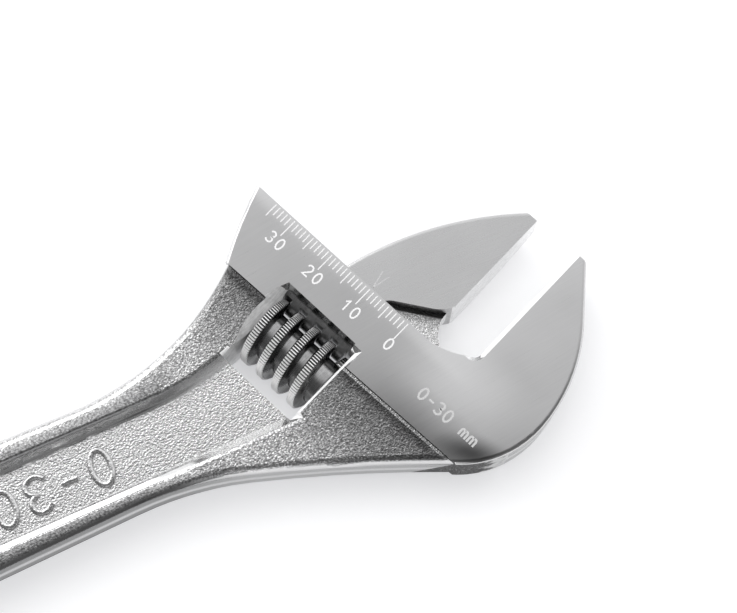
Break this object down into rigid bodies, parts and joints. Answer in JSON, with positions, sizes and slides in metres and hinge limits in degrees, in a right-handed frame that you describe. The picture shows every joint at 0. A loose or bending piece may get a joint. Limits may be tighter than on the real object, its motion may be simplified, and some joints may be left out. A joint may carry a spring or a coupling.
{
  "type": "adjustable wrench",
  "caption": "Chrome-plated adjustable wrench with a sliding lower jaw driven by a worm knurl, angled head with an opening scale, recessed handle and hanging hole.",
  "frame": {"origin": "centre of the hanging hole, halfway through the handle's thickness", "axes": "+X along the handle towards the jaws, +Y towards the movable jaw's side of the head, +Z out of the flat side that carries the scale"},
  "size_m": [0.256, 0.0682, 0.0146],
  "materials": {
    "chrome_body": "satin ground head, grainy cast handle",
    "chrome_jaw": "satin ground",
    "dark_steel": "polished thread with serrated crest",
    "bright_steel": "bright drawn"
  },
  "bodies": {
    "frame": {"handle_and_fixed_jaw": "chrome_body", "knurl_pin": "bright_steel", "knurl_spring": "bright_steel"},
    "jaw": {"movable_jaw": "chrome_jaw"},
    "knurl": {"knurl": "dark_steel"}
  },
  "joints": [
    {"name": "jaw_slide", "type": "slide", "parent": "frame", "child": "jaw", "axis": [-0.3827, 0.9239, 0], "range_m": [-0.00995, 0.02]},
    {"name": "knurl_spin", "type": "hinge", "parent": "frame", "child": "knurl", "pos_m": [0.18494, 0.00521, 0], "axis": [0.3827, -0.9239, 0], "range_deg": [-900, 1800]}
  ],
  "couplings": [
    {"joint": "knurl_spin", "follows": "jaw_slide", "rad_per_m": 1521.4}
  ]
}
